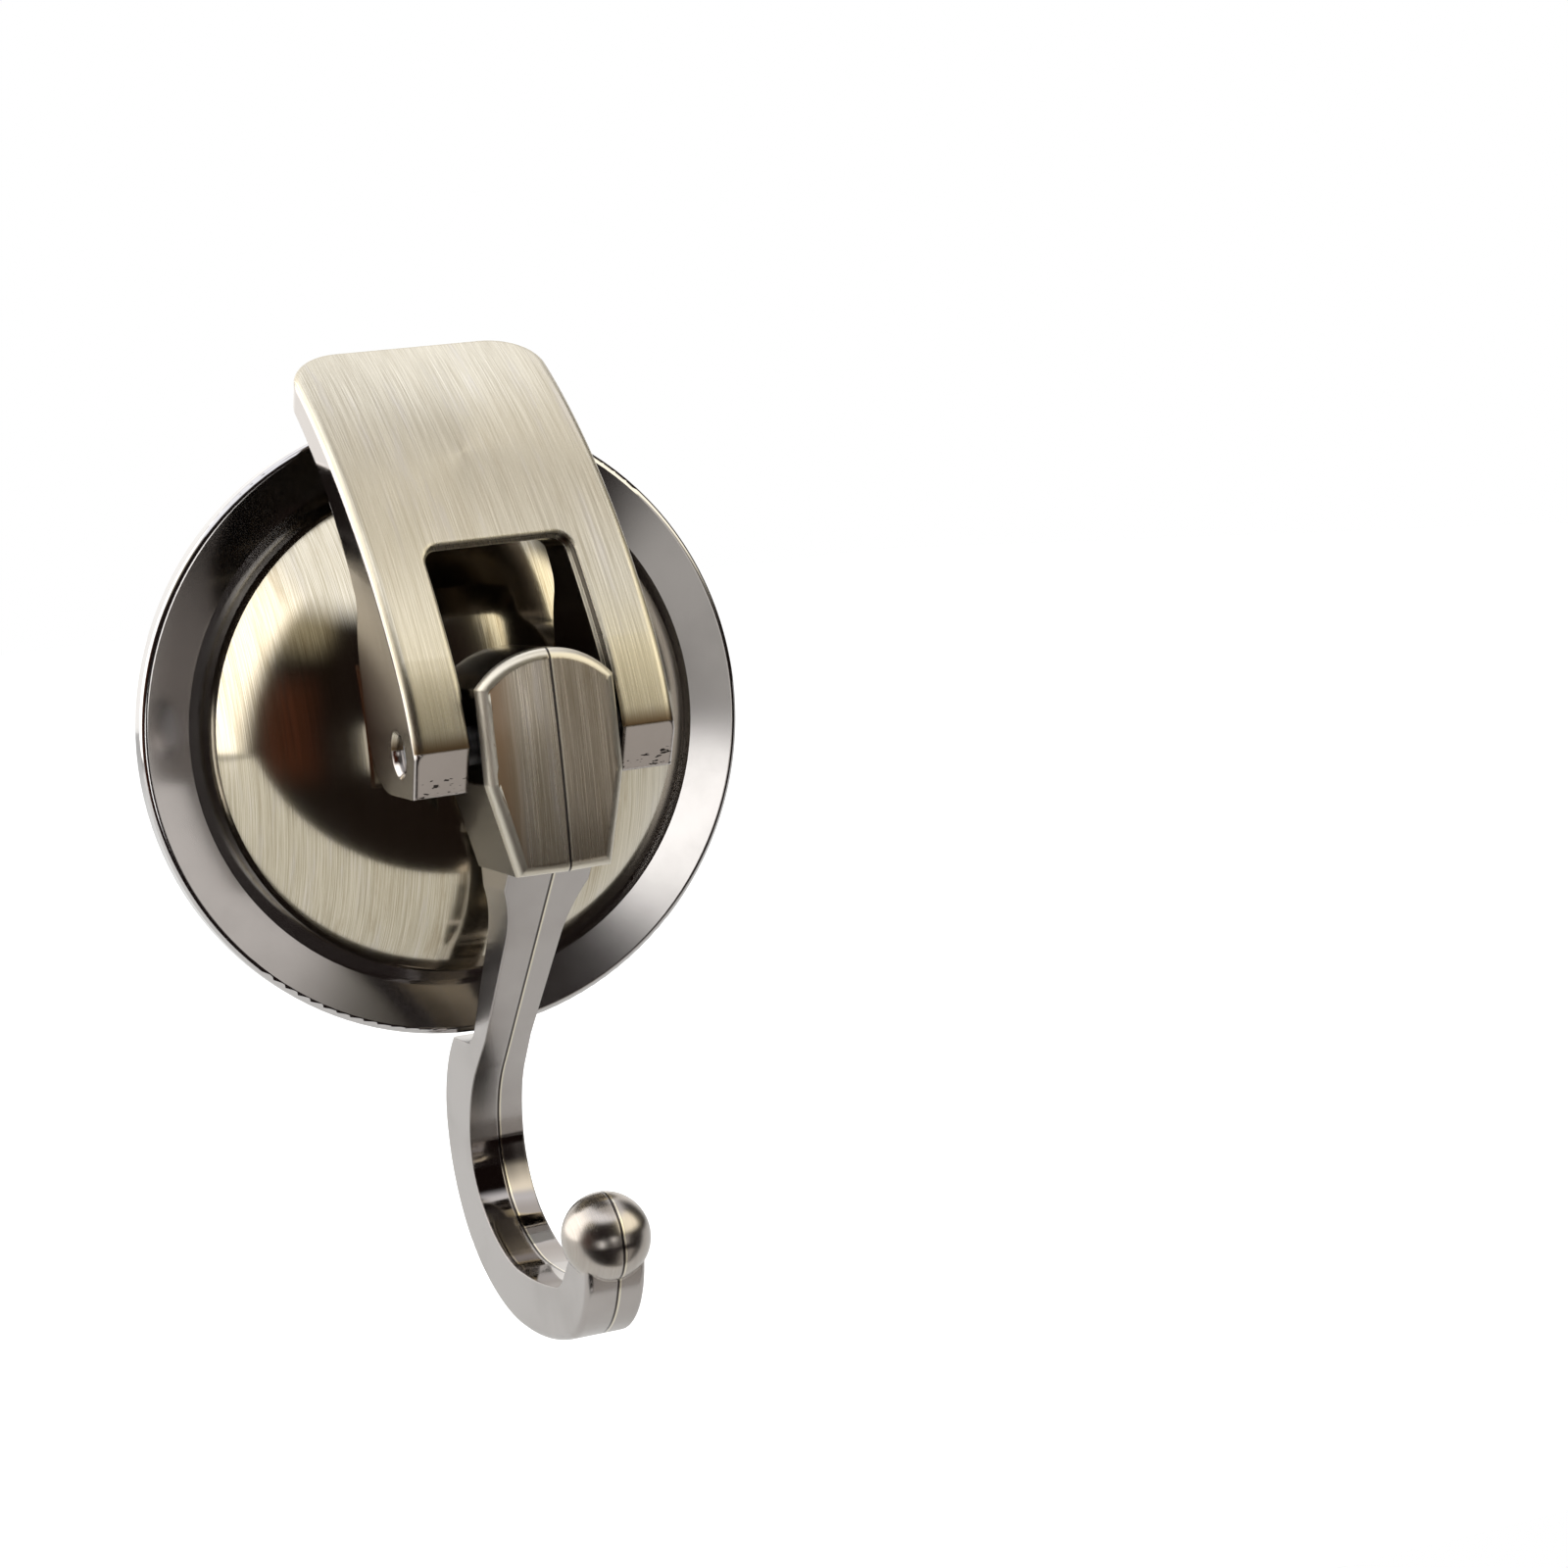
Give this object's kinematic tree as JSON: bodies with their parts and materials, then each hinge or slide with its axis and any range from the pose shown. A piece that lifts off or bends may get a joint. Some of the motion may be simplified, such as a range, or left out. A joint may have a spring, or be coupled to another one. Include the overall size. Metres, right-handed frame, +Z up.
{
  "type": "suction cup hook with cam lever",
  "caption": "Suction cup hook: clear cup under a domed brushed metal cover, clamped by a curved cam lever on a cross pin that also carries a cast J hook ending in a ball.",
  "frame": {"origin": "centre of the cup's face on the wall", "axes": "+Z up along the wall, +Y into the wall, +X to the right seen from the room"},
  "size_m": [0.07, 0.0513, 0.1076],
  "materials": {
    "stem_plastic": "hard clear plastic, slightly milky",
    "clear_cup": "clear soft plastic, glossy",
    "cover_metal": "antique brass plating, brushed dome under clear lacquer, polished ring",
    "pin_steel": "plain steel",
    "lever_metal": "antique brass plating, front brushed lengthwise, sides polished",
    "hook_metal": "antique brass plating, head brushed, shank and ball polished"
  },
  "bodies": {
    "base": {"suction_cup": "clear_cup", "cup_stem": "stem_plastic", "pivot_pin": "pin_steel", "hook": "hook_metal"},
    "cover": {"dome_cover": "cover_metal"},
    "lever": {"lever": "lever_metal"}
  },
  "joints": [
    {"name": "lever_hinge", "type": "hinge", "parent": "base", "child": "lever", "pos_m": [0, -0.0389, 0], "axis": [1, 0, 0], "range_deg": [0, 90]},
    {"name": "cover_slide", "type": "slide", "parent": "base", "child": "cover", "axis": [0, -1, 0], "range_m": [0, 0.0028]}
  ],
  "couplings": [
    {"joint": "lever_hinge", "follows": "cover_slide", "rad_per_m": 561}
  ]
}
